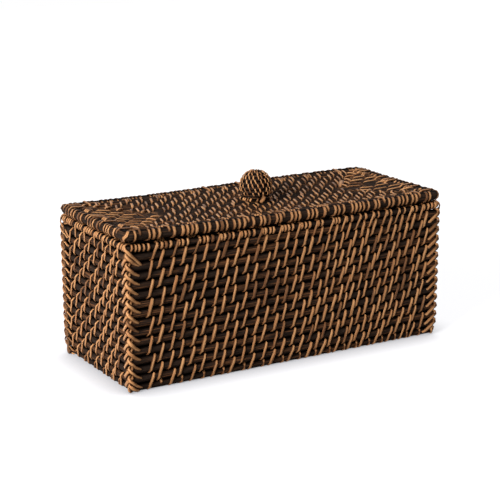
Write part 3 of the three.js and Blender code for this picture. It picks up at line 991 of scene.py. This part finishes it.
# One broad strip goes over the ring in front: degrees round, millimetres up and out from it, and how wide.
broad_run = [(-104, -2.1, 1.9, 0.6), (-102, -1.2, 2.3, 0.9), (-97, 0.6, 2.5, 1.0), (-90, 2.5, 1.5, 1.0),
             (-86, 3.4, -0.4, 0.9), (-84, 3.6, -2.4, 0.6)]
path = []
for angle, rise, proud, w in broad_run:
    place, facing, _ = collar_at(collar_reach * math.radians(angle))
    path.append((place + facing * (proud * mm) + up * (rise * mm), (facing + up * 0.1 * rise).normalized(),
                 w, 1.0, 1.0, 0))
lay(bm, path, 4.2 * mm, 0.8 * mm, sides=8)
wraps = piece_of(bm, "knob_collar_wraps", peel)
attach(wraps, "lid")

# Each stop of a strip under the lid: millimetres along it, up, and how wide.
tie_run = [(-13.5, 3.0, 0.7), (-12.6, 0.0, 0.7), (-9, 0.0, 1.0), (-4, -0.4, 1.0), (0, -0.4, 1.0),
           (4, -0.4, 1.0), (9, 0.0, 1.0), (12.6, 0.0, 0.7), (13.5, 3.0, 0.7)]
bm = new_stock()
for turn, height in ((0.6, 140.8), (0.6 + math.pi / 2, 140.25)):
    along = Vector((math.cos(turn), math.sin(turn), 0))
    path = [(along * (t * mm) + up * ((height + rise) * mm), -up, w, 1.0, 0.9, 0) for t, rise, w in tie_run]
    lay(bm, path, 4.6 * mm, 0.8 * mm, sides=6)
settle(bm, lid_fall)
tie = piece_of(bm, "knob_tie_straps", peel)
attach(tie, "lid")
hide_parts("knob_tie")


# The camera stands where the photographer's stood, and the box stands on a plain white sweep in soft light
# that comes mostly from the left, in a white room that gives little light of its own.

camera = bpy.data.objects.new("camera", bpy.data.cameras.new("camera"))
bpy.context.scene.collection.objects.link(camera)
camera.location = (-0.68622, -1.14290, 0.44059)
camera.rotation_euler = (math.radians(90 - 14.886), math.radians(0.076), math.radians(-30.909))
camera.rotation_mode = "XYZ"
camera.data.sensor_width = 36
camera.data.lens = 100.19
camera.data.shift_x = -0.0035
camera.data.shift_y = 0.0203
camera.data.clip_start = 0.05
bpy.context.scene.camera = camera

bpy.context.scene.view_settings.view_transform = "Standard"

sweep = bpy.data.meshes.new("sweep")
bm = bmesh.new()
bmesh.ops.create_grid(bm, x_segments=1, y_segments=1, size=4)
bm.to_mesh(sweep)
bm.free()
floor = bpy.data.objects.new("sweep", sweep)
bpy.context.scene.collection.objects.link(floor)

# The sweep glows where it is seen, and gives back little of the light on it. Its glow is dimmed close to the
# box, by how hidden each point is and by nearness, as a painted contact shadow.
paper = Finish("white_paper", roughness=0.9, specular=0.1)
paper.shader.inputs["Base Color"].default_value = (0.42, 0.42, 0.44, 1)
paper.shader.inputs["Emission Strength"].default_value = 1.0
closeness = paper.node("ShaderNodeAmbientOcclusion", {}, {"Distance": 45 * mm}, "AO")
middle = paper.node("ShaderNodeTexCoord", {}, {}, "Object")
away = paper.node("ShaderNodeVectorMath", {"operation": "LENGTH"}, {0: middle}, "Value")
open_floor = paper.mixed(away.between(0.3, 0.8), (0.92, 0.92, 0.935, 1), (1, 1, 1, 1))
glow = paper.mixed(closeness.between(0.33, 1.03), (0.40, 0.40, 0.415, 1), open_floor)
paper.feed(paper.shader.inputs["Emission Color"], glow)
seen = sum(paper.node("ShaderNodeLightPath", {}, {}, f"Is {ray} Ray")
           for ray in ("Camera", "Glossy", "Transmission"))
dull = paper.node("ShaderNodeBsdfDiffuse", {}, {"Color": (0.16, 0.155, 0.15, 1)})
either = paper.node("ShaderNodeMixShader", {}, {0: seen, 1: dull, 2: Wire(paper, paper.shader.outputs[0])})
paper.feed(paper.tree.nodes["Material Output"].inputs["Surface"], either)
sweep.materials.append(paper.material)

world = bpy.data.worlds.new("room")
bpy.context.scene.world = world
world.use_nodes = True
nodes, links = world.node_tree.nodes, world.node_tree.links
rays = nodes.new("ShaderNodeLightPath")
shown = rays.outputs["Is Camera Ray"]
for ray in ("Transmission", "Glossy"):
    either = nodes.new("ShaderNodeMath")
    either.operation = "MAXIMUM"
    links.new(shown, either.inputs[0])
    links.new(rays.outputs[f"Is {ray} Ray"], either.inputs[1])
    shown = either.outputs[0]
level = nodes.new("ShaderNodeMapRange")
level.inputs["To Min"].default_value = 0.08
links.new(shown, level.inputs["Value"])
links.new(level.outputs[0], nodes["Background"].inputs["Strength"])
nodes["Background"].inputs["Color"].default_value = (1, 1, 1, 1)

for name, place, size, power in (
    ("softbox_left", (-2.2, -0.88, 1.0), 0.9, 66),
    ("softbox_front", (0.6, -2.0, 1.5), 1.2, 5),
    ("softbox_back", (0.6, 1.5, 1.9), 1.2, 2.5),
):
    lamp = bpy.data.lights.new(name, "AREA")
    lamp.size = size
    lamp.energy = power
    box = bpy.data.objects.new(name, lamp)
    box.location = place
    box.rotation_mode = "QUATERNION"
    box.rotation_quaternion = (Vector((0, 0, 0.08)) - Vector(place)).to_track_quat("-Z", "Y")
    bpy.context.scene.collection.objects.link(box)
